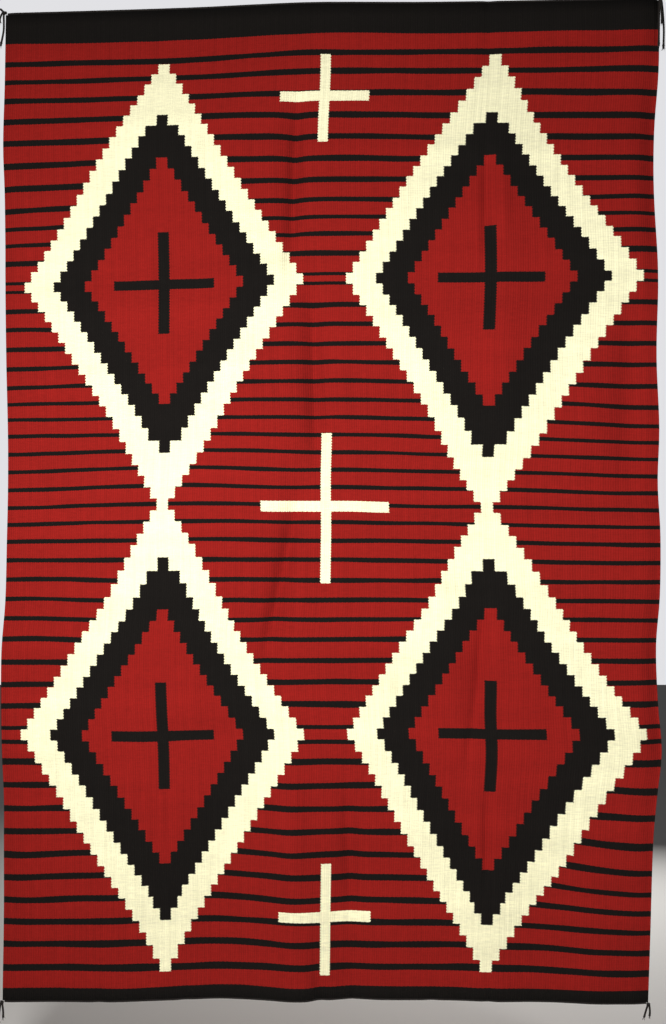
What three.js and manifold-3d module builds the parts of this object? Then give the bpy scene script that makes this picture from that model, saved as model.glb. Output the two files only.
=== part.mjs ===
// A hung wool blanket: one tapestry-woven web, a twined cord along each end and a knotted tassel
// at each corner.
// Millimetres, +Z up. The origin is the middle of the top edge, the front faces -Y and +X is to the right.
import * as THREE from "three";
import { mergeVertices } from "three/addons/utils/BufferGeometryUtils.js";
import Module from "manifold-3d";

// Driving sizes
const HEIGHT = 1848;
const WEB_THICKNESS = 3;
const CORD_RADIUS = 2;
const STRAND_RADIUS = 2.1;
const KNOT_RADIUS = 3.9;
const KNOT_HALF_HEIGHT = 4;
const GAP = 0.3;

// How finely the forms are cut into faces
const WEB_COLUMNS = 66;
const WEB_ROWS = 32;
const CORD_SIDES = 6;
const STRAND_SIDES = 4;
const STRAND_STEP = 5;
const STRAND_FEWEST_STEPS = 4;
const STRAND_TWIST_PER_STEP = Math.PI / 3;
const KNOT_SIDES = 8;

// The side edges as woven: how far down, and where the left and right edges lie across
const SIDES = [
  { down: 0, left: -608, right: 608 },
  { down: 130, left: -610, right: 608 },
  { down: 240, left: -613, right: 601 },
  { down: 335, left: -611, right: 600 },
  { down: 500, left: -609, right: 607 },
  { down: 655, left: -607, right: 604 },
  { down: 790, left: -604, right: 609 },
  { down: 890, left: -604, right: 606 },
  { down: 985, left: -606, right: 611 },
  { down: 1100, left: -609, right: 610 },
  { down: 1190, left: -616, right: 604 },
  { down: 1300, left: -617, right: 608 },
  { down: 1385, left: -616, right: 615 },
  { down: 1470, left: -613, right: 605 },
  { down: 1545, left: -613, right: 598 },
  { down: 1730, left: -613, right: 592 },
  { down: 1848, left: -614, right: 588 },
];

// The ends as hung: how far across, and how far the top and bottom edges lie above their level lines
const ENDS = [
  { across: -610, top: -20, bottom: -5 },
  { across: -430, top: -15, bottom: -3 },
  { across: -250, top: -9, bottom: -1 },
  { across: -150, top: -4, bottom: -1 },
  { across: -60, top: 0, bottom: -2 },
  { across: 0, top: 1, bottom: -2 },
  { across: 180, top: 1, bottom: -1 },
  { across: 370, top: 4, bottom: -4 },
  { across: 600, top: 9, bottom: -10 },
];

// The soft folds: where each starts and ends down the web, where its line lies across at those two places,
// its half-width, and how far it stands forward of the web's plane. One that ends below the web's lower
// edge runs off it.
const FOLDS = [
  { fold: "left edge, upper", from: 250, to: 520, above: -612, below: -612, width: 26, forward: -6 },
  { fold: "left edge, lower", from: 1300, to: 1830, above: -614, below: -614, width: 30, forward: -9 },
  { fold: "left ridge", from: 1050, to: 2500, above: -390, below: -430, width: 72, forward: 9 },
  { fold: "left trough", from: 1000, to: 2500, above: -195, below: -225, width: 60, forward: -12 },
  { fold: "middle trough, upper", from: 90, to: 560, above: -64, below: -80, width: 27, forward: -12 },
  { fold: "middle trough, lower", from: 430, to: 960, above: -42, below: -24, width: 30, forward: -13 },
  { fold: "slanting trough", from: 760, to: 1320, above: -36, below: -140, width: 28, forward: -13 },
  { fold: "middle ridge", from: 1230, to: 2500, above: -84, below: -50, width: 46, forward: 14 },
  { fold: "trough beside it", from: 1380, to: 2500, above: 10, below: 72, width: 42, forward: -12 },
  { fold: "right ridge, upper", from: 200, to: 860, above: 330, below: 308, width: 42, forward: 8 },
  { fold: "right trough, middle", from: 1000, to: 1420, above: 252, below: 282, width: 32, forward: -9 },
  { fold: "right ridge, lower", from: 1380, to: 2500, above: 312, below: 288, width: 50, forward: 8 },
  { fold: "right trough", from: 500, to: 980, above: 558, below: 548, width: 30, forward: -12 },
  { fold: "right edge, upper", from: 70, to: 540, above: 596, below: 602, width: 28, forward: -10 },
  { fold: "right edge, middle", from: 1080, to: 1500, above: 610, below: 610, width: 28, forward: -9 },
  { fold: "right ridge at the hem", from: 1450, to: 2500, above: 478, below: 505, width: 52, forward: 8 },
];
const FOLD_FADE = 0.35;

// The corner tassels: which corner, and how far out from that corner the knot's middle lies
const TASSELS = [
  { name: "tassel_top_left", edge: "left", end: "top", knotOut: -1.5 },
  { name: "tassel_top_right", edge: "right", end: "top", knotOut: 0.6 },
  { name: "tassel_bottom_left", edge: "left", end: "bottom", knotOut: -1.5 },
  { name: "tassel_bottom_right", edge: "right", end: "bottom", knotOut: 0.6 },
];

// Their strands: how far out and down from the knot the tip lies, how far the middle bows aside,
// and how far the strand hangs ahead of the web's front face
const STRANDS = [
  { of: "tassel_top_left", out: -7, fall: 63, bow: 2.8, ahead: 3 },
  { of: "tassel_top_left", out: -9, fall: 19, bow: -3, ahead: 0 },
  { of: "tassel_top_left", out: -8, fall: -6, bow: 0, ahead: 0 },
  { of: "tassel_top_right", out: -2.5, fall: 92, bow: -0.5, ahead: 3 },
  { of: "tassel_top_right", out: 3, fall: 50, bow: 0.5, ahead: 4.5 },
  { of: "tassel_top_right", out: 7, fall: 96, bow: 3.2, ahead: -1.5 },
  { of: "tassel_bottom_left", out: -6, fall: 34, bow: -1, ahead: -1.5 },
  { of: "tassel_bottom_left", out: 3, fall: 27, bow: 1, ahead: -1.5 },
  { of: "tassel_bottom_right", out: -9, fall: 22, bow: -1, ahead: -1.5 },
  { of: "tassel_bottom_right", out: 1, fall: 20, bow: 1, ahead: -1.5 },
];
// How far along its way out, its fall and its bow a strand is where it leaves the knot, at its middle
// and at its tip
const SHOULDER = { out: 0.25, fall: 0.02, bow: 0.3 };
const MIDDLE = { out: 0.6, fall: 0.55, bow: 1 };
const TIP = { out: 1, fall: 1, bow: 0 };

const wasm = await Module();
wasm.setup();

const woven = new THREE.MeshStandardMaterial({ color: 0x9c2620, roughness: 0.95, metalness: 0 });
const blackYarn = new THREE.MeshStandardMaterial({ color: 0x1b1918, roughness: 0.95, metalness: 0 });

// A smooth curve through one column of a table, read at a place along its key column
function readTable(table, key, column, place) {
  const last = table.length - 1;
  const at = THREE.MathUtils.clamp(place, table[0][key], table[last][key]);
  let i = 0;
  while (i < last - 1 && at > table[i + 1][key]) i += 1;
  const slope = (a, b) => (table[b][column] - table[a][column]) / (table[b][key] - table[a][key]);
  const step = table[i + 1][key] - table[i][key];
  const t = (at - table[i][key]) / step;
  const slopeBefore = slope(Math.max(i - 1, 0), i + 1) * step;
  const slopeAfter = slope(i, Math.min(i + 2, last)) * step;
  const rise = table[i + 1][column] - table[i][column];
  const bend = slopeBefore * (1 - t) - slopeAfter * t + rise * (2 * t - 1);
  return table[i][column] + rise * t + t * (1 - t) * bend;
}

// How far a place on the web stands forward of its plane, from all the folds that cross it
function forwardAt(across, down) {
  let forward = 0;
  for (const fold of FOLDS) {
    const t = (down - fold.from) / (fold.to - fold.from);
    const strength =
      THREE.MathUtils.smoothstep(t, 0, FOLD_FADE) * (1 - THREE.MathUtils.smoothstep(t, 1 - FOLD_FADE, 1));
    const line = THREE.MathUtils.lerp(fold.above, fold.below, THREE.MathUtils.clamp(t, 0, 1));
    const aside = (across - line) / fold.width;
    forward += fold.forward * strength * Math.exp(-aside * aside);
  }
  return forward;
}

// A point of the web's middle surface, by its share of the way from left to right and from top to bottom
function webPoint(rightShare, downShare) {
  const down = downShare * HEIGHT;
  const left = readTable(SIDES, "down", "left", down);
  const right = readTable(SIDES, "down", "right", down);
  const across = THREE.MathUtils.lerp(left, right, rightShare);
  const top = readTable(ENDS, "across", "top", across);
  const bottom = readTable(ENDS, "across", "bottom", across) - HEIGHT;
  return new THREE.Vector3(across, -forwardAt(across, down), THREE.MathUtils.lerp(top, bottom, downShare));
}

// A closed solid through rings of points, each ring counter-clockwise seen from the last ring's end
function loft(rings) {
  const ringSize = rings[0].length;
  const points = rings.flat();
  const triangles = [];
  const addQuad = (a, b, c, d) => triangles.push(a, b, c, a, c, d);
  for (let k = 0; k < rings.length - 1; k += 1) {
    for (let i = 0; i < ringSize; i += 1) {
      const next = (i + 1) % ringSize;
      const lower = k * ringSize;
      const upper = lower + ringSize;
      addQuad(lower + i, lower + next, upper + next, upper + i);
    }
  }
  const top = (rings.length - 1) * ringSize;
  for (let i = 0; i < ringSize / 2 - 1; i += 1) {
    const across = [i, i + 1, ringSize - 2 - i, ringSize - 1 - i];
    addQuad(...across.map((corner) => top + corner));
    addQuad(...across.reverse());
  }
  const geometry = new THREE.BufferGeometry().setFromPoints(points);
  geometry.setIndex(triangles);
  return geometry;
}

// The web: a ring round each row, the front from left to right and the back from right to left
function makeWeb() {
  const rings = [];
  for (let row = WEB_ROWS; row >= 0; row -= 1) {
    const middle = [];
    for (let column = 0; column <= WEB_COLUMNS; column += 1) {
      middle.push(webPoint(column / WEB_COLUMNS, row / WEB_ROWS));
    }
    const half = new THREE.Vector3(0, WEB_THICKNESS / 2, 0);
    const front = middle.map((point) => point.clone().sub(half));
    const back = middle.map((point) => point.clone().add(half)).reverse();
    rings.push([...front, ...back]);
  }
  return loft(rings);
}

// An end cord: a round section carried along the web's top or bottom edge, between the two knots
function makeEndCord(end) {
  const downShare = end === "top" ? 0 : 1;
  const outwards = end === "top" ? 1 : -1;
  const leftShare = KNOT_RADIUS / (2 * SIDES[0].right);
  const rings = [];
  for (let column = 0; column <= WEB_COLUMNS; column += 1) {
    const rightShare = THREE.MathUtils.lerp(leftShare, 1 - leftShare, column / WEB_COLUMNS);
    const middle = webPoint(rightShare, downShare);
    middle.z += outwards * (CORD_RADIUS + GAP);
    const ring = [];
    for (let side = 0; side < CORD_SIDES; side += 1) {
      const turn = (2 * Math.PI * side) / CORD_SIDES;
      const round = new THREE.Vector3(0, Math.cos(turn), Math.sin(turn));
      ring.push(round.multiplyScalar(CORD_RADIUS).add(middle));
    }
    rings.push(ring);
  }
  return loft(rings);
}

// A tassel's knot: two wraps of cord round an upright axis
function makeKnot(middle) {
  const profile = [
    new THREE.Vector2(0, -KNOT_HALF_HEIGHT),
    new THREE.Vector2(0.65 * KNOT_RADIUS, -0.85 * KNOT_HALF_HEIGHT),
    new THREE.Vector2(KNOT_RADIUS, -0.4 * KNOT_HALF_HEIGHT),
    new THREE.Vector2(0.85 * KNOT_RADIUS, 0),
    new THREE.Vector2(KNOT_RADIUS, 0.4 * KNOT_HALF_HEIGHT),
    new THREE.Vector2(0.65 * KNOT_RADIUS, 0.85 * KNOT_HALF_HEIGHT),
    new THREE.Vector2(0, KNOT_HALF_HEIGHT),
  ];
  const knot = new THREE.LatheGeometry(profile, KNOT_SIDES);
  return knot.rotateX(Math.PI / 2).translate(middle.x, middle.y, middle.z);
}

// A strand: a square section that twists as it falls from the knot's middle
function makeStrand(knotMiddle, strand) {
  const outSide = Math.sign(knotMiddle.x);
  const pointAt = (share) => {
    const across = knotMiddle.x + strand.out * share.out + strand.bow * share.bow;
    const height = knotMiddle.z - strand.fall * share.fall;
    const webFront = -forwardAt(across, -height) - WEB_THICKNESS / 2;
    return new THREE.Vector3(across, webFront - strand.ahead, height);
  };
  const route = new THREE.CatmullRomCurve3([knotMiddle, pointAt(SHOULDER), pointAt(MIDDLE), pointAt(TIP)]);
  const steps = Math.max(STRAND_FEWEST_STEPS, Math.round(route.getLength() / STRAND_STEP));
  const frames = route.computeFrenetFrames(steps);
  const rings = route.getSpacedPoints(steps).map((middle, step) => {
    const ring = [];
    for (let side = 0; side < STRAND_SIDES; side += 1) {
      const turn = (2 * Math.PI * side) / STRAND_SIDES + outSide * step * STRAND_TWIST_PER_STEP;
      const point = middle.clone();
      point.addScaledVector(frames.normals[step], STRAND_RADIUS * Math.cos(turn));
      point.addScaledVector(frames.binormals[step], STRAND_RADIUS * Math.sin(turn));
      ring.push(point);
    }
    return ring;
  });
  return loft(rings);
}

// A three.js geometry as a solid that can be joined, and back again
function solidOf(geometry) {
  const bare = new THREE.BufferGeometry();
  bare.setAttribute("position", geometry.getAttribute("position"));
  bare.setIndex(geometry.index);
  const merged = mergeVertices(bare);
  return new wasm.Manifold(
    new wasm.Mesh({
      numProp: 3,
      vertProperties: new Float32Array(merged.getAttribute("position").array),
      triVerts: new Uint32Array(merged.index.array),
    }),
  );
}

function geometryOf(solid) {
  const mesh = solid.getMesh();
  const geometry = new THREE.BufferGeometry();
  geometry.setAttribute("position", new THREE.BufferAttribute(mesh.vertProperties, 3));
  geometry.setIndex(new THREE.BufferAttribute(mesh.triVerts, 1));
  return geometry;
}

// A tassel: its knot just past the web's corner, with the strands fused to it
function makeTassel(tassel) {
  const middle = webPoint(tassel.edge === "left" ? 0 : 1, tassel.end === "top" ? 0 : 1);
  middle.x += tassel.knotOut;
  middle.z += (tassel.end === "top" ? 1 : -1) * (KNOT_HALF_HEIGHT + GAP);
  let solid = solidOf(makeKnot(middle));
  for (const strand of STRANDS.filter((row) => row.of === tassel.name)) {
    solid = solid.add(solidOf(makeStrand(middle, strand)));
  }
  return geometryOf(solid);
}

const blanket = new THREE.Group();

function addPiece(name, geometry, material) {
  const piece = new THREE.Mesh(geometry, material);
  piece.name = name;
  blanket.add(piece);
}

addPiece("web", makeWeb(), woven);
for (const end of ["top", "bottom"]) {
  addPiece(`end_cord_${end}`, makeEndCord(end), blackYarn);
}
for (const tassel of TASSELS) {
  addPiece(tassel.name, makeTassel(tassel), blackYarn);
}

export default blanket;
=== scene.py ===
"""A hung tapestry-woven wool blanket: the ribbed web with its stripes, crosses and terraced diamonds,
the twined cord along each end, and a knotted tassel of plied yarn at each corner."""
import math

import bpy
import numpy as np
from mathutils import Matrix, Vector


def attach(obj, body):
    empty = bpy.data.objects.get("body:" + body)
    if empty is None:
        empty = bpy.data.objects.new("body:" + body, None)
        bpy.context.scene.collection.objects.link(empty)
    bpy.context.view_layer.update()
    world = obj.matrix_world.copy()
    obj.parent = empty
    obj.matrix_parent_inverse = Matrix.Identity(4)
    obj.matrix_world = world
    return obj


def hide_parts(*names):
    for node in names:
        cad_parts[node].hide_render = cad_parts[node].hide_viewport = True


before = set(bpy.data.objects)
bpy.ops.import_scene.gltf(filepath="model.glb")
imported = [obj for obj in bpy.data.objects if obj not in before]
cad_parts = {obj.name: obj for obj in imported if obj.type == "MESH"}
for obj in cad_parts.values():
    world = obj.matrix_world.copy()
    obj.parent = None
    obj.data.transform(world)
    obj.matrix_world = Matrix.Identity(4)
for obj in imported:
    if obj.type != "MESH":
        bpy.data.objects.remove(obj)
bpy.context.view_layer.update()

# Driving sizes, in millimetres
MM = 0.001
WEB_HEIGHT = 1848
WEB_ROWS = 84
WARPS = 285
CREST_HALF_THICKNESS = 1.5
GROOVE_HALF_THICKNESS = 0.9
CORD_RADIUS = 2
CORD_SINK = 0.3
KNOT_RADIUS = 3.9
KNOT_HALF_HEIGHT = 4
GAP = 0.3
FOLD_FADE = 0.35


def table(columns, *rows):
    """A short table as named columns."""
    return dict(zip(columns.split(), map(np.array, zip(*rows))))


# The side edges as woven: how far down, and where the left and right edges lie across
SIDES = table(
    "down left right",
    (0, -608, 608),
    (130, -610, 608),
    (240, -613, 601),
    (335, -611, 600),
    (500, -609, 607),
    (655, -607, 604),
    (790, -604, 609),
    (890, -604, 606),
    (985, -606, 611),
    (1100, -609, 610),
    (1190, -616, 604),
    (1300, -617, 608),
    (1385, -616, 615),
    (1470, -613, 605),
    (1545, -613, 598),
    (1730, -613, 592),
    (1848, -614, 588),
)

# The ends as hung: how far across, and how far the top and bottom edges lie above their level lines
ENDS = table(
    "across top bottom",
    (-610, -20, -5),
    (-430, -15, -3),
    (-250, -9, -1),
    (-150, -4, -1),
    (-60, 0, -2),
    (0, 1, -2),
    (180, 1, -1),
    (370, 4, -4),
    (600, 9, -10),
)

# The soft folds: where each starts and ends down the web, where its line lies across at those two places,
# its half-width, and how far it stands forward of the web's plane
FOLDS = table(
    "fold start end above below width forward",
    ("left edge, upper", 250, 520, -612, -612, 26, -6),
    ("left edge, lower", 1300, 1830, -614, -614, 30, -9),
    ("left ridge", 1050, 2500, -390, -430, 72, 9),
    ("left trough", 1000, 2500, -195, -225, 60, -12),
    ("middle trough, upper", 90, 560, -64, -80, 27, -12),
    ("middle trough, lower", 430, 960, -42, -24, 30, -13),
    ("slanting trough", 760, 1320, -36, -140, 28, -13),
    ("middle ridge", 1230, 2500, -84, -50, 46, 14),
    ("trough beside it", 1380, 2500, 10, 72, 42, -12),
    ("right ridge, upper", 200, 860, 330, 308, 42, 8),
    ("right trough, middle", 1000, 1420, 252, 282, 32, -9),
    ("right ridge, lower", 1380, 2500, 312, 288, 50, 8),
    ("right trough", 500, 980, 558, 548, 30, -12),
    ("right edge, upper", 70, 540, 596, 602, 28, -10),
    ("right edge, middle", 1080, 1500, 610, 610, 28, -9),
    ("right ridge at the hem", 1450, 2500, 478, 505, 52, 8),
)

# The narrow creases, in the same columns
CREASES = table(
    "crease start end above below width forward",
    ("middle crease, upper", 130, 520, -62, -80, 12, -9),
    ("middle crease, lower", 490, 940, -38, -26, 16, -9.5),
    ("slanting crease", 860, 1270, -50, -140, 13, -9),
    ("lip of the middle ridge", 1360, 1720, -82, -76, 22, 6),
    ("crease beside the ridge", 1430, 1720, 30, 36, 17, -11),
    ("middle crease, hem", 1700, 2100, -26, -22, 15, -9.5),
    ("right crease, top", -120, 170, 292, 290, 10, -3.4),
    ("right crease, upper", 240, 500, 287, 284, 10, -8),
    ("right lip beside it", 240, 460, 314, 316, 15, 6),
    ("right crease, slanting", 1080, 1330, 290, 264, 11, -8),
    ("right lip below it", 1090, 1260, 310, 302, 16, 5),
    ("crease in the right core", 1260, 1450, 272, 242, 9, -4.5),
    ("right crease, lower", 1430, 1680, 287, 286, 10, -8),
    ("right crease, hem", 1740, 2100, 290, 292, 10, -4),
    ("swell by the right trough", 690, 830, 470, 482, 28, 5),
    ("dent in the right core", 1330, 1395, 321, 321, 16, -2.6),
    ("dent by the right edge", 1425, 1500, 525, 525, 18, -4),
    ("dent in the left core", 475, 545, -391, -391, 18, -2.4),
    ("hem scallop, left", 1770, 2100, -432, -432, 12, -4),
    ("hem scallop, left middle", 1770, 2100, -274, -274, 12, -4),
    ("hem scallop, right middle", 1770, 2100, 36, 38, 12, -4),
    ("hem scallop, right", 1770, 2100, 186, 186, 12, -4),
)

# The level creases left by storage: how far down, half-width, and how far forward
STORED_CREASES = table(
    "down width forward",
    (512, 12, -1.6),
    (1354, 12, -1.6),
)

# How far each side edge turns back, and over what width
TURNED_EDGES = table(
    "edge width back",
    ("left", 10, 3),
    ("right", 19, 7),
)

# The warps as set: the warp's number from the left, and its share of the way across
WARP_SPACING = table(
    "warp share",
    (0, 0),
    (9, 0.030),
    (71.5, 0.2432),
    (134, 0.4555),
    (143.5, 0.4895),
    (153, 0.5215),
    (215.5, 0.7419),
    (278, 0.977),
    (285, 1),
)

# The black lines as beaten: how far down the middle of the web, and the line's number from the top band
STRIPES = table(
    "down stripe",
    (0, -1.3),
    (49, 0),
    (91, 1),
    (125, 2),
    (247, 5),
    (364, 8),
    (427, 10),
    (462, 11),
    (512, 12),
    (559, 13),
    (630, 15),
    (735, 18),
    (833, 21),
    (931, 24),
    (997, 26),
    (1108, 29),
    (1181, 31),
    (1301, 34),
    (1354, 35),
    (1408, 36),
    (1538, 39),
    (1665, 42),
    (1747, 44),
    (1790, 45),
    (1833, 46),
    (1848, 46.3),
)

# The diamonds' steps: how far down, and the step's number, counted from the upper diamonds' middle
TERRACES = table(
    "down terrace",
    (0, -25.2),
    (96, -20.5),
    (201, -15.5),
    (281, -11.5),
    (510, 0),
    (742, 11.5),
    (838, 15.5),
    (932, 20),
    (1029, 24.5),
    (1124, 28.5),
    (1357, 40),
    (1606, 51.5),
    (1707, 56.5),
    (1798, 60.5),
    (1848, 62.8),
)

# Where the web's edges, its middle line and the diamonds' axes lie across
AXES = {"far_left": -610, "left": -314, "middle": -14, "right": 293, "far_right": 600}

# How far below its level the weft lies on those lines, down the web
WEFT_DRIFT = table(
    "down far_left left right far_right",
    (0, 0, 0, 0, 0),
    (49, 0, 2, 0, 0),
    (97, 4, 6, 0, 0),
    (203, -5, -6, 2, 6),
    (283, -2, -5, 2, 4),
    (398, 7, 1, 0, -4),
    (510, 3, 4, 0, -2),
    (596, -3, 0, 0, 0),
    (698, 1, -3, 5, 10),
    (768, -9, -6, 6, 18),
    (844, -7, -11, 6, 14),
    (937, -6, -8, 5, 11),
    (1033, -10, -6, 4, 6),
    (1140, -12, -2, 0, 0),
    (1260, -3, -1, 0, 0),
    (1357, -7, 0, 0, -3),
    (1495, -6, -7, 2, 12),
    (1609, -4, -11, 3, 32),
    (1711, -4, -6, 2, 16),
    (1790, -3, -2, 0, 7),
    (1848, 0, 0, 0, 0),
)

# How far to the right the warps wander on the inner lines, down the web
WARP_DRIFT = table(
    "down left middle right",
    (0, 0, 1, 9),
    (110, 0, 1, 9),
    (280, 0, 1, 6),
    (510, 0, 0, 1),
    (800, -3, 0, -5),
    (937, -7, -1, -8),
    (1050, -4, -2, -6),
    (1125, -2, -1, 1),
    (1200, 0, 0, 4),
    (1260, 0, 1, 5),
    (1357, 2, 3, -1),
    (1460, 4, 6, 1),
    (1560, 7, 9, 5),
    (1700, 9, 9, 5),
    (1798, 10, 10, 5),
    (1848, 10, 10, 5),
)

# The corner tassels: which corner, and how far out from that corner the knot's middle lies
TASSELS = table(
    "corner edge end knot_out",
    ("top_left", 0, 0, -1.5),
    ("top_right", 1, 0, 0.6),
    ("bottom_left", 0, 1, -1.5),
    ("bottom_right", 1, 1, 0.6),
)

# Their strands: how far out and down from the knot the tip lies, how far the middle bows aside,
# and how far the strand hangs ahead of the web's front face
STRANDS = table(
    "corner out fall bow ahead",
    ("top_left", -7, 63, 2.8, 3),
    ("top_left", -9, 19, -3, 0),
    ("top_left", -8, -6, 0, 0),
    ("top_right", -2.5, 92, -0.5, 3),
    ("top_right", 3, 50, 0.5, 4.5),
    ("top_right", 7, 96, 3.2, -1.5),
    ("bottom_left", -6, 34, -1, -1.5),
    ("bottom_left", 3, 27, 1, -1.5),
    ("bottom_right", -9, 22, -1, -1.5),
    ("bottom_right", 1, 20, 1, -1.5),
)
# How far along its way out, its fall and its bow a strand is at its shoulder, middle and tip
STRAND_PLACES = table(
    "out fall bow",
    (0.25, 0.02, 0.3),
    (0.6, 0.55, 1),
    (1, 1, 0),
)


# Reading the tables and hanging the web

def read_table(rows, key, column, place):
    """A smooth curve through one column of a table, read at places along its key column."""
    places, values = rows[key], rows[column]
    last = len(places) - 1
    at = np.clip(place, places[0], places[last])
    i = np.clip(np.searchsorted(places, at, side="right") - 1, 0, last - 1)

    def slope(a, b):
        return (values[b] - values[a]) / (places[b] - places[a])

    step = places[i + 1] - places[i]
    t = (at - places[i]) / step
    slope_before = slope(np.maximum(i - 1, 0), i + 1) * step
    slope_after = slope(i, np.minimum(i + 2, last)) * step
    rise = values[i + 1] - values[i]
    bend = slope_before * (1 - t) - slope_after * t + rise * (2 * t - 1)
    return values[i] + rise * t + t * (1 - t) * bend


def smooth_step(share):
    share = np.clip(share, 0, 1)
    return share * share * (3 - 2 * share)


def lerp(first, second, share):
    return first + (second - first) * share


def forward_of(rows, across, down):
    """How far a table of folds brings a place on the web forward."""
    forward = np.zeros(np.broadcast(across, down).shape)
    for i in range(len(rows["start"])):
        t = (down - rows["start"][i]) / (rows["end"][i] - rows["start"][i])
        strength = smooth_step(t / FOLD_FADE) * smooth_step((1 - t) / FOLD_FADE)
        line = lerp(rows["above"][i], rows["below"][i], np.clip(t, 0, 1))
        aside = (across - line) / rows["width"][i]
        forward = forward + rows["forward"][i] * strength * np.exp(-aside * aside)
    return forward


def forward_at(across, down):
    """How far a place on the web stands forward of its plane."""
    forward = forward_of(FOLDS, across, down) + forward_of(CREASES, across, down)
    for middle, width, depth in zip(*STORED_CREASES.values()):
        forward = forward + depth * np.exp(-(((down - middle) / width) ** 2))
    return forward


def drift_at(rows, across, down):
    """How far a table of drifts moves a place; each line's drift fades out towards the next line."""
    names, places = list(AXES), list(AXES.values())
    drift = 0.0
    for i, name in enumerate(names):
        if name not in rows:
            continue
        weight = 1.0
        if i > 0:
            weight = weight * smooth_step((across - places[i - 1]) / (places[i] - places[i - 1]))
        if i < len(names) - 1:
            weight = weight * smooth_step((places[i + 1] - across) / (places[i + 1] - places[i]))
        drift = drift + weight * read_table(rows, "down", name, down)
    return drift


def hang(right_share, down):
    """Points of the web's middle surface, by the share of the way across and the way down."""
    down_share = down / WEB_HEIGHT
    left = read_table(SIDES, "down", "left", down)
    right = read_table(SIDES, "down", "right", down)
    across = lerp(left, right, right_share)
    across = across + drift_at(WARP_DRIFT, across, down)
    top = read_table(ENDS, "across", "top", across)
    bottom = read_table(ENDS, "across", "bottom", across) - WEB_HEIGHT
    height = lerp(top, bottom, down_share)
    back = -forward_at(across, down)
    for edge, width, turn in zip((left, right), TURNED_EDGES["width"], TURNED_EDGES["back"]):
        back = back + turn * np.exp(-(((across - edge) / width) ** 2))
    return np.stack([across, back, height], axis=-1)


def unit(vectors):
    return vectors / np.linalg.norm(vectors, axis=-1, keepdims=True)


def new_piece(name, points, faces, material):
    """A smooth-shaded mesh object from points in millimetres."""
    mesh = bpy.data.meshes.new(name)
    mesh.from_pydata(np.asarray(points, float).reshape(-1, 3) * MM, [], faces)
    mesh.shade_smooth()
    mesh.materials.append(material)
    piece = bpy.data.objects.new(name, mesh)
    bpy.context.scene.collection.objects.link(piece)
    return piece


# Materials

class Finish:
    """A material in the making: its nodes, its links and its shader."""

    def __init__(self, name):
        self.material = bpy.data.materials.new(name)
        self.material.use_nodes = True
        self.nodes = self.material.node_tree.nodes
        self.links = self.material.node_tree.links
        self.shader = self.nodes["Principled BSDF"]

    def feed(self, socket, value):
        if isinstance(value, bpy.types.NodeSocket):
            self.links.new(value, socket)
        else:
            socket.default_value = value

    def calc(self, operation, *values):
        node = self.nodes.new("ShaderNodeMath")
        node.operation = operation
        for socket, value in zip(node.inputs, values):
            self.feed(socket, value)
        return node.outputs[0]

    def read(self, attribute):
        node = self.nodes.new("ShaderNodeAttribute")
        node.attribute_name = attribute
        return self.split(node.outputs["Vector"])

    def split(self, vector):
        node = self.nodes.new("ShaderNodeSeparateXYZ")
        self.links.new(vector, node.inputs[0])
        return node.outputs

    def noise(self, across, along, detail=2.0):
        """Even noise from 0 to 1 over two lengths counted in its own grain."""
        place = self.nodes.new("ShaderNodeCombineXYZ")
        self.feed(place.inputs[0], across)
        self.feed(place.inputs[1], along)
        node = self.nodes.new("ShaderNodeTexNoise")
        node.noise_dimensions = "2D"
        node.inputs["Scale"].default_value = 1.0
        node.inputs["Detail"].default_value = detail
        self.links.new(place.outputs[0], node.inputs["Vector"])
        return node.outputs[0]

    def mix(self, share, first, second):
        node = self.nodes.new("ShaderNodeMix")
        node.data_type = "RGBA"
        self.feed(node.inputs[0], share)
        self.feed(node.inputs[6], first)
        self.feed(node.inputs[7], second)
        return node.outputs[2]

    def tint(self, colour, strength):
        """A colour made lighter or darker by a number."""
        node = self.nodes.new("ShaderNodeVectorMath")
        node.operation = "SCALE"
        self.feed(node.inputs[0], colour)
        self.feed(node.inputs["Scale"], strength)
        return node.outputs[0]

    def bump(self, height, distance, strength):
        node = self.nodes.new("ShaderNodeBump")
        node.inputs["Strength"].default_value = strength
        node.inputs["Distance"].default_value = distance
        self.links.new(height, node.inputs["Height"])
        self.links.new(node.outputs[0], self.shader.inputs["Normal"])

    def surface(self, roughness, specular, sheen, sheen_roughness):
        self.shader.inputs["Roughness"].default_value = roughness
        self.shader.inputs["Specular IOR Level"].default_value = specular
        self.shader.inputs["Sheen Weight"].default_value = sheen
        self.shader.inputs["Sheen Roughness"].default_value = sheen_roughness

    def below(self, value, limit):
        return self.calc("LESS_THAN", value, limit)

    def both(self, first, second):
        return self.calc("MULTIPLY", first, second)

    def either(self, first, second):
        return self.calc("MAXIMUM", first, second)

    def apart(self, value, middle):
        return self.calc("ABSOLUTE", self.calc("SUBTRACT", value, middle))

    def swing(self, value, reach):
        """Noise from 0 to 1 as a number that swings that far to each side of 0."""
        return self.calc("MULTIPLY_ADD", value, 2 * reach, -reach)


# Yarn colours
RED_YARN = (0.270, 0.0112, 0.0086, 1)
BLACK_YARN = (0.0082, 0.0068, 0.0060, 1)
CREAM_YARN = (0.93, 0.90, 0.61, 1)
DARK_FIBRE = (0.006, 0.0055, 0.0055, 1)
# painted highlight: the lighter brown that the cords' fibres show where they would catch the light
PAINTED_FIBRE_HIGHLIGHT = (0.032, 0.027, 0.024, 1)

# The weave in metres: the heights of a pick and of a tooth, where the top band ends, and where the
# bottom band starts
PICK_HEIGHT = 0.0013
TOOTH_HEIGHT = 0.0052
TOP_BAND = 0.049
BOTTOM_BAND = 1.8265

# The usual distance from line to line and from step to step, in millimetres
STRIPE_PITCH = 38.0
TERRACE_PITCH = 20.8

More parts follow.
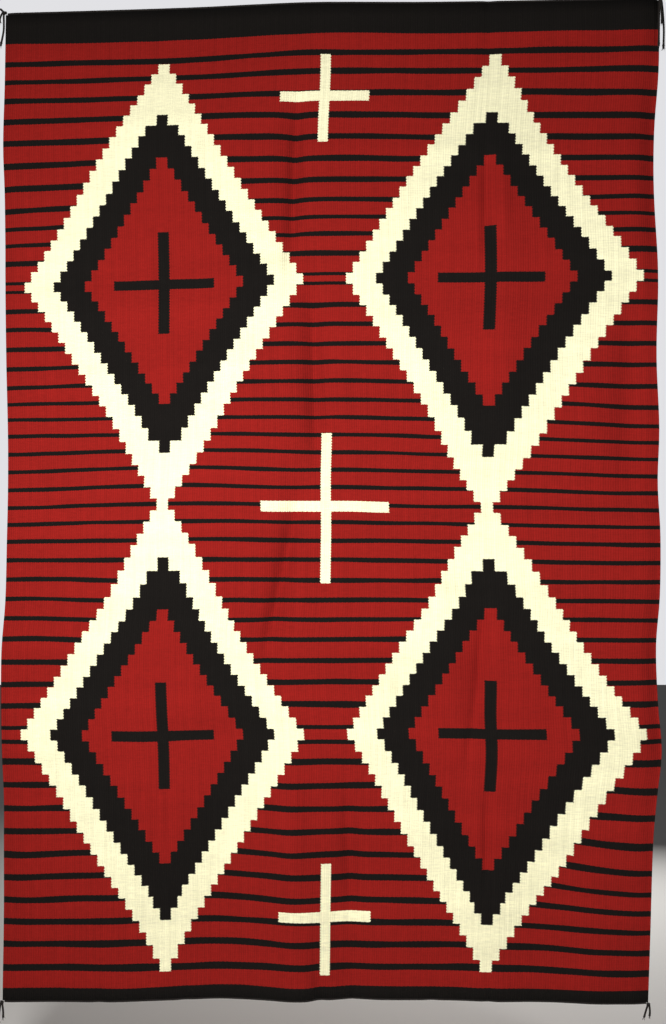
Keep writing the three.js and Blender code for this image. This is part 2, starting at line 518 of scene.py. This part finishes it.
# The diamonds: their places and half-widths in warps, how many warps a step takes off, and half the
# number of steps from the upper diamonds' middle to the lower ones'
CHART_MIDDLE = 143.5
DIAMOND_OUT = 72.0
CREAM_HALF = 62.5
BLACK_HALF = 49.5
CORE_HALF = 35.5
STEP_WARPS = 3.0
TERRACE_HALF = 20.0

# The black diamonds' tips: the step past which they differ, and the warps then added to the half-width,
# at the hem and elsewhere
TIP_STEP = 14.5
HEM_TIP = 1.0
OTHER_TIP = -2.0

# The black lines, in shares of their pitch: half-height, its swell towards the ends and its unevenness;
# then the grains of that unevenness to a warp, and the number of the middle line
STRIPE_HALF = 0.118
STRIPE_SWELL = 0.035
STRIPE_UNEVEN = 0.03
STRIPE_GRAIN = 0.03
MIDDLE_STRIPE = 23.0

# The paired lines at the diamonds' middles, in steps: how far out each lies and its half-height, for the
# upper and the lower diamonds; and how far out the single lines start
UPPER_PAIR_OUT = 0.43
UPPER_PAIR_HALF = 0.16
LOWER_PAIR_OUT = 0.66
LOWER_PAIR_HALF = 0.20
SINGLE_LINES_OUT = 0.9

# The crosses: half-heights in steps, half-widths in warps
BAR_HALF = 0.46
BLACK_UPRIGHT_HALF = 2.5
CREAM_UPRIGHT_HALF = 2.2
BLACK_CROSS_HALF_WIDTH = 22.5
BLACK_CROSS_HALF_HEIGHT = 4.85
# The cream crosses on the middle line: terrace of the bar and of the upright, half-height in terraces,
# half-width in warps
CREAM_CROSSES = ((-16.95, -16.65, 3.95, 19.5), (20.1, 20.15, 6.3, 28.5), (56.0, 56.0, 4.85, 20.5))


def charted_yarns(wool, warp, down, stripe, terrace):
    """The shares of black and cream yarn over the red ground."""
    from_middle = wool.apart(warp, CHART_MIDDLE)
    from_diamond = wool.apart(from_middle, DIAMOND_OUT)
    from_waist = wool.apart(terrace, TERRACE_HALF)
    step = wool.apart(from_waist, TERRACE_HALF)
    whole_step = wool.calc("ROUND", step)

    def diamond(half):
        reach = wool.calc("MULTIPLY_ADD", whole_step, -STEP_WARPS, half)
        return wool.below(from_diamond, reach)

    def cross(aside, along_bar, along_upright, half_width, half_height, half_thickness):
        upright = wool.both(wool.below(aside, half_thickness), wool.below(along_upright, half_height))
        bar = wool.both(wool.below(aside, half_width), wool.below(along_bar, BAR_HALF))
        return wool.either(upright, bar)

    cream_diamond = diamond(CREAM_HALF)
    at_hem = wool.calc("GREATER_THAN", terrace, 2 * TERRACE_HALF)
    tip = wool.calc("MULTIPLY_ADD", at_hem, HEM_TIP - OTHER_TIP, OTHER_TIP)
    at_tip = wool.calc("GREATER_THAN", whole_step, TIP_STEP)
    black_diamond = diamond(wool.calc("MULTIPLY_ADD", at_tip, tip, BLACK_HALF))
    core = diamond(CORE_HALF)
    black_cross = cross(
        from_diamond, step, step, BLACK_CROSS_HALF_WIDTH, BLACK_CROSS_HALF_HEIGHT, BLACK_UPRIGHT_HALF
    )
    cream_cross = 0.0
    for bar, upright, half_height, half_width in CREAM_CROSSES:
        along_bar = wool.apart(terrace, bar)
        along_upright = wool.apart(terrace, upright)
        one = cross(from_middle, along_bar, along_upright, half_width, half_height, CREAM_UPRIGHT_HALF)
        cream_cross = wool.either(cream_cross, one)

    nearest = wool.calc("ROUND", stripe)
    from_centre = wool.calc("SUBTRACT", stripe, MIDDLE_STRIPE)
    off_centre = wool.calc("DIVIDE", from_centre, MIDDLE_STRIPE)
    half_stripe = wool.calc("MULTIPLY_ADD", wool.both(off_centre, off_centre), STRIPE_SWELL, STRIPE_HALF)
    uneven = wool.swing(wool.noise(wool.calc("MULTIPLY", warp, STRIPE_GRAIN), nearest), STRIPE_UNEVEN)
    single = wool.below(wool.apart(stripe, nearest), wool.calc("ADD", half_stripe, uneven))
    single = wool.both(single, wool.calc("GREATER_THAN", step, SINGLE_LINES_OUT))
    lower = wool.calc("GREATER_THAN", terrace, TERRACE_HALF)
    pair_out = wool.calc("MULTIPLY_ADD", lower, LOWER_PAIR_OUT - UPPER_PAIR_OUT, UPPER_PAIR_OUT)
    pair_half = wool.calc("MULTIPLY_ADD", lower, LOWER_PAIR_HALF - UPPER_PAIR_HALF, UPPER_PAIR_HALF)
    pair = wool.below(wool.apart(step, pair_out), pair_half)
    lines = wool.either(single, pair)
    bands = wool.either(wool.below(down, TOP_BAND), wool.calc("GREATER_THAN", down, BOTTOM_BAND))

    cream = wool.either(cream_diamond, cream_cross)
    ground_black = wool.both(wool.either(lines, bands), wool.calc("SUBTRACT", 1.0, cream))
    ring = wool.calc("SUBTRACT", black_diamond, core)
    diamond_black = wool.either(ring, wool.both(black_cross, core))
    black = wool.either(ground_black, diamond_black)
    cream = wool.both(cream, wool.calc("SUBTRACT", 1.0, black_diamond))
    return black, cream


# The yarn's unevenness: grains to a warp, grains to a metre, and how far the tone swings
DYE_BANDS = (0.008, 26.0, 0.10)
PICK_STREAKS = (0.22, 520.0, 0.16)
RIB_TONES = (0.8, 5.0, 0.12)
# How much darker the painted shade makes the grooves than the crests, and a rib's mean height as a share
GROOVE_SHADE = 0.19
CREAM_GROOVE_SHADE = 0.06
MEAN_RIB = 0.64
# The weft's waver: grains to a warp, grains to a line, and how far it swings in millimetres; then the
# share of it that the end bands' edges show
WAVER = (0.022, 0.9, 2.4)
BAND_WAVER = 0.6
# How far the weft dips over a warp and over every other one, in millimetres
RIB_DIP = 0.5
ODD_RIB_DIP = 0.3
# How far the teeth of the steps reach, in warps
TOOTH_WARPS = 0.2
# The fuzz: grains to a warp and to a metre, and its height as a share of a pick's
FUZZ = (5.0, 2600.0)
FUZZ_HEIGHT = 0.6
# The cords' fibres: grains to a metre across and up
FIBRES_ACROSS = 1400.0
FIBRES_UP = 900.0


def banded_wool():
    """Weft-faced wool: red ground with black lines and bands and cream and black terraced diamonds."""
    wool = Finish("banded_wool")
    warp, down, _ = wool.read("weave")
    stripe, terrace, _ = wool.read("chart")
    rib = wool.calc("ABSOLUTE", wool.calc("SINE", wool.calc("MULTIPLY", warp, math.pi)))
    odd_rib = wool.calc("MODULO", wool.calc("FLOOR", warp), 2.0)
    picks = wool.calc("MULTIPLY_ADD", odd_rib, 0.5, wool.calc("DIVIDE", down, PICK_HEIGHT))
    pick_swell = wool.calc("ABSOLUTE", wool.calc("SINE", wool.calc("MULTIPLY", picks, math.pi)))

    def grain(along, to_warp, to_length):
        """Noise over the warps and another length, each counted in grains."""
        return wool.noise(wool.calc("MULTIPLY", warp, to_warp), wool.calc("MULTIPLY", along, to_length))

    def unevenness(along, to_warp, to_length, reach):
        return wool.swing(grain(along, to_warp, to_length), reach)

    # The weft's waver and the small steps where it dips over and under the warps, in millimetres
    waver = unevenness(stripe, *WAVER)
    scallop = wool.calc("MULTIPLY_ADD", rib, RIB_DIP, wool.calc("MULTIPLY", odd_rib, ODD_RIB_DIP))
    shift = wool.calc("ADD", waver, scallop)
    wavered_stripe = wool.calc("MULTIPLY_ADD", shift, 1 / STRIPE_PITCH, stripe)
    wavered_terrace = wool.calc("MULTIPLY_ADD", shift, 1 / TERRACE_PITCH, terrace)
    wavered_down = wool.calc("MULTIPLY_ADD", shift, BAND_WAVER * MM, down)
    tooth = wool.calc("SINE", wool.calc("MULTIPLY", down, 2 * math.pi / TOOTH_HEIGHT))
    toothed_warp = wool.calc("MULTIPLY_ADD", tooth, TOOTH_WARPS, warp)
    black, cream = charted_yarns(wool, toothed_warp, wavered_down, wavered_stripe, wavered_terrace)

    # The yarn's tone: dye bands, streaks along each pick and uneven ribs, with painted shade in the
    # grooves between them
    dye_and_streaks = wool.calc("ADD", unevenness(down, *DYE_BANDS), unevenness(down, *PICK_STREAKS))
    yarn_tone = wool.calc("ADD", wool.calc("ADD", 1.0, unevenness(down, *RIB_TONES)), dye_and_streaks)
    shade = wool.calc("MULTIPLY_ADD", cream, CREAM_GROOVE_SHADE - GROOVE_SHADE, GROOVE_SHADE)
    # painted shade: the grooves between the ribs are darkened in the colour itself
    groove = wool.calc("MULTIPLY_ADD", wool.calc("SUBTRACT", rib, MEAN_RIB), shade, 1.0)
    # the tone holds both the yarn's own unevenness and the painted groove shade
    tone = wool.both(yarn_tone, groove)
    ground = wool.mix(black, RED_YARN, BLACK_YARN)
    colour = wool.mix(cream, ground, CREAM_YARN)
    wool.links.new(wool.tint(colour, tone), wool.shader.inputs["Base Color"])
    wool.surface(roughness=0.92, specular=0.08, sheen=0.015, sheen_roughness=0.55)
    relief = wool.calc("MULTIPLY_ADD", grain(down, *FUZZ), FUZZ_HEIGHT, wool.both(pick_swell, rib))
    wool.bump(relief, distance=0.0004, strength=0.6)
    return wool.material


def black_cord():
    """Black plied wool, with painted highlights: lighter brown flecks where fibres would catch the light.
    """
    wool = Finish("black_cord")
    place = wool.nodes.new("ShaderNodeTexCoord")
    across, _, height = wool.split(place.outputs["Object"])
    across_grain = wool.calc("MULTIPLY", across, FIBRES_ACROSS)
    fibre_relief_and_highlight = wool.noise(across_grain, wool.calc("MULTIPLY", height, FIBRES_UP), detail=3.0)
    # painted highlight: noise mixes the lighter brown into the black in random flecks; the same noise
    # drives the bump
    wool.links.new(wool.mix(fibre_relief_and_highlight, DARK_FIBRE, PAINTED_FIBRE_HIGHLIGHT), wool.shader.inputs["Base Color"])
    wool.surface(roughness=0.9, specular=0.12, sheen=0.04, sheen_roughness=0.5)
    wool.bump(fibre_relief_and_highlight, distance=0.0003, strength=0.5)
    return wool.material


# The web

def web_faces(rows, columns):
    """Quads round a sheet of two grids of points, the front grid first."""
    def corner(row, column, side):
        return (side * rows + row) * columns + column

    def quads(*corners):
        return np.stack([np.broadcast_to(c, corners_shape).ravel() for c in corners], axis=-1)

    row, column = np.meshgrid(np.arange(rows - 1), np.arange(columns - 1), indexing="ij")
    corners_shape = row.shape
    grids = []
    for side in (0, 1):
        quad = quads(
            corner(row, column, side),
            corner(row + 1, column, side),
            corner(row + 1, column + 1, side),
            corner(row, column + 1, side),
        )
        grids.append(quad[:, ::-1] if side else quad)

    def rim(first, second, side_reversed):
        strip = np.stack([first[:-1], first[1:], second[1:], second[:-1]], axis=-1)
        return strip[:, ::-1] if side_reversed else strip

    along_row, along_column = np.arange(columns), np.arange(rows)
    last_row, last_column = rows - 1, columns - 1
    rims = [
        rim(corner(0, along_row, 0), corner(0, along_row, 1), False),
        rim(corner(last_row, along_row, 0), corner(last_row, along_row, 1), True),
        rim(corner(along_column, 0, 0), corner(along_column, 0, 1), True),
        rim(corner(along_column, last_column, 0), corner(along_column, last_column, 1), False),
    ]
    return np.concatenate(grids + rims)


def store(mesh, name, *columns):
    """Keeps up to three numbers for each point of a mesh, for its material to read."""
    values = np.zeros((len(mesh.vertices), 3), np.float32)
    for i, column in enumerate(columns):
        values[:, i] = column
    attribute = mesh.attributes.new(name, "FLOAT_VECTOR", "POINT")
    attribute.data.foreach_set("vector", values.ravel())


def mark_grooves(mesh, columns):
    """Sharp edges down every groove, so that each rib is shaded as a round one."""
    ends = np.empty(2 * len(mesh.edges), np.int32)
    mesh.edges.foreach_get("vertices", ends)
    column = ends.reshape(-1, 2) % columns
    in_groove = (column[:, 0] == column[:, 1]) & (column[:, 0] % 2 == 0)
    sharp = mesh.attributes.new("sharp_edge", "BOOLEAN", "EDGE")
    sharp.data.foreach_set("value", in_groove)


def make_web(material):
    """The ribbed sheet: a column of points in each groove and on each crest, on both faces."""
    warp, down = np.meshgrid(np.arange(2 * WARPS + 1) / 2, np.linspace(0, WEB_HEIGHT, WEB_ROWS + 1))
    share = read_table(WARP_SPACING, "warp", "share", warp)
    middle = hang(share, down)
    front_facing = unit(np.cross(np.gradient(middle, axis=0), np.gradient(middle, axis=1)))
    on_crest = (2 * warp) % 2 == 1
    half = np.where(on_crest, CREST_HALF_THICKNESS, GROOVE_HALF_THICKNESS)[..., None]
    points = np.stack([middle + front_facing * half, middle - front_facing * half])
    rows, columns = warp.shape
    web = new_piece("woven_web", points, web_faces(rows, columns), material)
    mark_grooves(web.data, columns)

    beaten = down - drift_at(WEFT_DRIFT, middle[..., 0], down)
    stripe = read_table(STRIPES, "down", "stripe", beaten)
    terrace = read_table(TERRACES, "down", "terrace", beaten)
    both_faces = [np.tile(values.ravel(), 2) for values in (warp, down * MM, stripe, terrace)]
    store(web.data, "weave", *both_faces[:2])
    store(web.data, "chart", *both_faces[2:])
    return web


# Cords and tassels

PLIES = 3
PLY_SIDES = 6
# A ply's place and its own radius, as shares of the cord's radius
PLY_OUT = 0.46
PLY_RADIUS = 0.54
# The length of one twist in millimetres, and how far the strands' plies open at their tips
CORD_LAY = 8.6
KNOT_LAY = 5.5
STRAND_LAY = 6.4
STRAND_OPENING = 0.35
# Where along a route its plies start to open, and over how much of it
OPENING_START = 0.8
OPENING_LENGTH = 0.2
# How finely the routes are drawn, and a direction off every coil's axis
CORD_POINTS = 1180
FEWEST_POINTS = 6
COIL_POINTS = 26
OFF_AXIS = (0.3, 1.0, 0.2)


class Yarn:
    """Points and faces gathered from many round strands."""

    def __init__(self):
        self.points = []
        self.faces = []
        self.count = 0

    def strand(self, route, radius, sides=PLY_SIDES):
        """A closed round strand along a route; the radius may change along it."""
        normals, binormals = carried_frames(route)
        turn = 2 * math.pi * np.arange(sides) / sides
        radius = np.broadcast_to(np.asarray(radius, float), len(route))[:, None, None]
        ring = normals[:, None] * np.cos(turn)[:, None] + binormals[:, None] * np.sin(turn)[:, None]
        points = (route[:, None] + ring * radius).reshape(-1, 3)
        start = self.count
        side = np.arange(sides)
        for step in range(len(route) - 1):
            lower = start + step * sides
            upper = lower + sides
            next_side = (side + 1) % sides
            quads = np.stack([lower + side, lower + next_side, upper + next_side, upper + side], axis=-1)
            self.faces.extend(quads.tolist())
        last = start + (len(route) - 1) * sides
        self.faces.append((start + side[::-1]).tolist())
        self.faces.append((last + side).tolist())
        self.points.append(points)
        self.count += len(points)

    def plied(self, route, radius, lay_length, opening=0.0):
        """Three plies twisted along a route, opening towards its end by a share of the radius."""
        normals, binormals = carried_frames(route)
        along = np.concatenate([[0], np.cumsum(np.linalg.norm(np.diff(route, axis=0), axis=1))])
        spread = 1 + opening * smooth_step((along / along[-1] - OPENING_START) / OPENING_LENGTH)
        for which in range(PLIES):
            turn = 2 * math.pi * (along / lay_length + which / PLIES)
            ring = normals * np.cos(turn)[:, None] + binormals * np.sin(turn)[:, None]
            aside = ring * (PLY_OUT * radius * spread)[:, None]
            self.strand(route + aside, PLY_RADIUS * radius)

    def piece(self, name, material):
        return new_piece(name, np.concatenate(self.points), self.faces, material)


def carried_frames(route):
    """Two directions square to a route, carried along it without twisting."""
    tangents = unit(np.gradient(route, axis=0))
    least = np.eye(3)[np.argmin(np.abs(tangents[0]))]
    normal = unit(np.cross(tangents[0], least))
    normals = []
    for tangent in tangents:
        normal = unit(normal - tangent * np.dot(normal, tangent))
        normals.append(normal)
    normals = np.array(normals)
    return normals, np.cross(tangents, normals)


def smooth_route(places, step):
    """Points a step apart along a smooth curve through a few places."""
    places = np.asarray(places, float)
    reach = np.concatenate([[0], np.cumsum(np.linalg.norm(np.diff(places, axis=0), axis=1))])
    rows = dict(zip(("reach", "x", "y", "z"), (reach, *places.T)))
    at = np.linspace(0, reach[-1], max(FEWEST_POINTS, round(reach[-1] / step) + 1))
    return np.stack([read_table(rows, "reach", axis, at) for axis in "xyz"], axis=-1)


def make_end_cord(end, material):
    """The twined cord laid along the web's top or bottom edge, between the two knots."""
    name, down, outwards = end
    inset = KNOT_RADIUS / (SIDES["right"][0] - SIDES["left"][0])
    share = np.linspace(inset, 1 - inset, CORD_POINTS)
    route = hang(share, np.full_like(share, down))
    route[:, 2] += outwards * (CORD_RADIUS - CORD_SINK)
    yarn = Yarn()
    yarn.plied(route, CORD_RADIUS, CORD_LAY)
    return yarn.piece(f"twined_cord_{name}", material)


def coil(yarn, middle, axis, radius, rise, turns, thickness):
    """Turns of yarn round an axis, as in a pulled knot."""
    axis = unit(np.asarray(axis, float))
    sideways = unit(np.cross(axis, OFF_AXIS))
    ahead = np.cross(axis, sideways)
    share = np.linspace(-0.5, 0.5, round(COIL_POINTS * turns))[:, None]
    turn = 2 * math.pi * turns * share
    route = middle + radius * (np.cos(turn) * sideways + np.sin(turn) * ahead) + axis * rise * share
    yarn.plied(route, thickness, KNOT_LAY)


def strand_places(knot_middle, i):
    """The few places that a strand goes through, from the knot to its tip."""
    places = [knot_middle]
    for out, fall, bow in zip(*STRAND_PLACES.values()):
        across = knot_middle[0] + STRANDS["out"][i] * out + STRANDS["bow"][i] * bow
        height = knot_middle[2] - STRANDS["fall"][i] * fall
        front = -forward_at(across, -height) - CREST_HALF_THICKNESS
        places.append([across, front - STRANDS["ahead"][i], height])
    return places


STRAND_RADIUS = 2.1
STRAND_STEP = 0.9
# A strand's direction at its tip is taken over the last few points; one that falls far has a knot near it
TIP_POINTS = 4
TIP_KNOT_FALL = 60
TIP_KNOT_POINTS = 7
# The loose fibres of a tip, in millimetres
FRAYS = 9
FIBRE_SPREAD = 0.33
FIBRE_LENGTHS = (4, 8.5)
FIBRE_ROOT = 1.5
FIBRE_ASIDE = 1.2
FIBRE_CURL = 0.5
FIBRE_STEP = 2.0
FIBRE_SIDES = 3
FIBRE_RADIUS = 0.32
FIBRE_TIP_RADIUS = 0.12
fray_draws = np.random.default_rng(17)


def fray(yarn, tip, direction):
    """Loose fibres past a strand's end."""
    for _ in range(FRAYS):
        aside = fray_draws.normal(0, FIBRE_SPREAD, 3)
        length = fray_draws.uniform(*FIBRE_LENGTHS)
        start = tip - direction * FIBRE_ROOT + aside * FIBRE_ASIDE
        end = start + unit(direction + aside) * length
        middle = (start + end) / 2 + fray_draws.normal(0, FIBRE_CURL, 3)
        route = smooth_route([start, middle, end], FIBRE_STEP)
        yarn.strand(route, np.linspace(FIBRE_RADIUS, FIBRE_TIP_RADIUS, len(route)), FIBRE_SIDES)


def make_tassel(which, material):
    """A pulled knot at the web's corner, with its plied strands hanging from it."""
    corner = TASSELS["corner"][which]
    end = TASSELS["end"][which]
    knot_middle = hang(np.array(float(TASSELS["edge"][which])), np.array(float(end * WEB_HEIGHT)))
    outwards = 1 - 2 * end
    knot_middle = knot_middle + (TASSELS["knot_out"][which], 0, outwards * (KNOT_HALF_HEIGHT + GAP))
    yarn = Yarn()
    coil(yarn, knot_middle, axis=(0.15, 0.1, 1), radius=2.2, rise=4.4, turns=2.2, thickness=1.55)
    coil(yarn, knot_middle, axis=(1, 0.2, -0.7), radius=2.3, rise=1.2, turns=1.1, thickness=1.5)
    for i in np.flatnonzero(STRANDS["corner"] == corner):
        route = smooth_route(strand_places(knot_middle, i), STRAND_STEP)
        direction = unit(route[-1] - route[-TIP_POINTS])
        yarn.plied(route, STRAND_RADIUS, STRAND_LAY, STRAND_OPENING)
        fray(yarn, route[-1], direction)
        if STRANDS["fall"][i] > TIP_KNOT_FALL:
            tip_knot = route[-TIP_KNOT_POINTS]
            coil(yarn, tip_knot, direction, radius=1.7, rise=2.4, turns=1.6, thickness=1.1)
    return yarn.piece(f"corner_tassel_{corner}", material)


# The pieces

wool = banded_wool()
cord_wool = black_cord()
web = make_web(wool)
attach(web, "root")
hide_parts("web")

edging = []
for end in (("top", 0, 1), ("bottom", WEB_HEIGHT, -1)):
    cord = make_end_cord(end, cord_wool)
    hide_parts(f"end_cord_{end[0]}")
    edging.append(cord)
for which, corner in enumerate(TASSELS["corner"]):
    tassel = make_tassel(which, cord_wool)
    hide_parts(f"tassel_{corner}")
    edging.append(tassel)
for piece in edging:
    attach(piece, "root")


# Floor, light and camera

FLOOR_HEIGHT = -1.98
FLOOR_SIZE = 16
FLOOR_COLOUR = (0.72, 0.71, 0.69, 1)
ROOM_COLOUR = (0.97, 0.97, 1.0, 1)
CAMERA_AWAY = 3.6
VIEW_HEIGHT = 1.9046
VIEW_MIDDLE = (0.0009, -0.9445)
LAMP_COLOUR = (1.0, 0.985, 0.96)


def make_floor():
    bpy.ops.object.select_all(action="DESELECT")
    bpy.ops.mesh.primitive_plane_add(size=FLOOR_SIZE, location=(0, 0, FLOOR_HEIGHT))
    floor = bpy.context.object
    floor.name = "studio_floor"
    pale = Finish("pale_floor")
    pale.shader.inputs["Base Color"].default_value = FLOOR_COLOUR
    pale.shader.inputs["Roughness"].default_value = 0.8
    floor.data.materials.append(pale.material)


def make_light(name, place, aim, width, height, power):
    lamp = bpy.data.lights.new(name, "AREA")
    lamp.shape = "RECTANGLE"
    lamp.size = width
    lamp.size_y = height
    lamp.energy = power
    lamp.color = LAMP_COLOUR
    light = bpy.data.objects.new(name, lamp)
    light.location = place
    light.visible_camera = False
    light.rotation_euler = (Vector(aim) - Vector(place)).to_track_quat("-Z", "Y").to_euler()
    bpy.context.scene.collection.objects.link(light)


def make_world(seen, lighting):
    """A pale room that is brighter to look at than the light it gives."""
    world = bpy.data.worlds.new("pale_room")
    world.use_nodes = True
    nodes, links = world.node_tree.nodes, world.node_tree.links
    background = nodes["Background"]
    background.inputs["Color"].default_value = ROOM_COLOUR
    looked_at = nodes.new("ShaderNodeLightPath").outputs["Is Camera Ray"]
    strength = nodes.new("ShaderNodeMath")
    strength.operation = "MULTIPLY_ADD"
    links.new(looked_at, strength.inputs[0])
    strength.inputs[1].default_value = seen - lighting
    strength.inputs[2].default_value = lighting
    links.new(strength.outputs[0], background.inputs["Strength"])
    bpy.context.scene.world = world


def make_camera():
    lens = bpy.data.cameras.new("camera")
    lens.sensor_width = 36
    lens.lens = lens.sensor_width * CAMERA_AWAY / VIEW_HEIGHT
    camera = bpy.data.objects.new("camera", lens)
    camera.location = (VIEW_MIDDLE[0], -CAMERA_AWAY, VIEW_MIDDLE[1])
    camera.rotation_euler = (math.pi / 2, 0, 0)
    bpy.context.scene.collection.objects.link(camera)
    bpy.context.scene.camera = camera


make_floor()
make_world(seen=0.78, lighting=0.07)
make_light("key", place=(-0.6, -1.42, -0.80), aim=(0.6, 0, -0.92), width=0.4, height=0.35, power=31)
make_light("back", place=(0.8, 2.3, -0.6), aim=(0, 0, -0.95), width=1.0, height=0.8, power=42)
make_light("side", place=(1.5, -1.5, -0.85), aim=(0.6, 0, -0.95), width=0.4, height=0.35, power=10.4)
make_camera()
bpy.context.scene.view_settings.view_transform = "Standard"
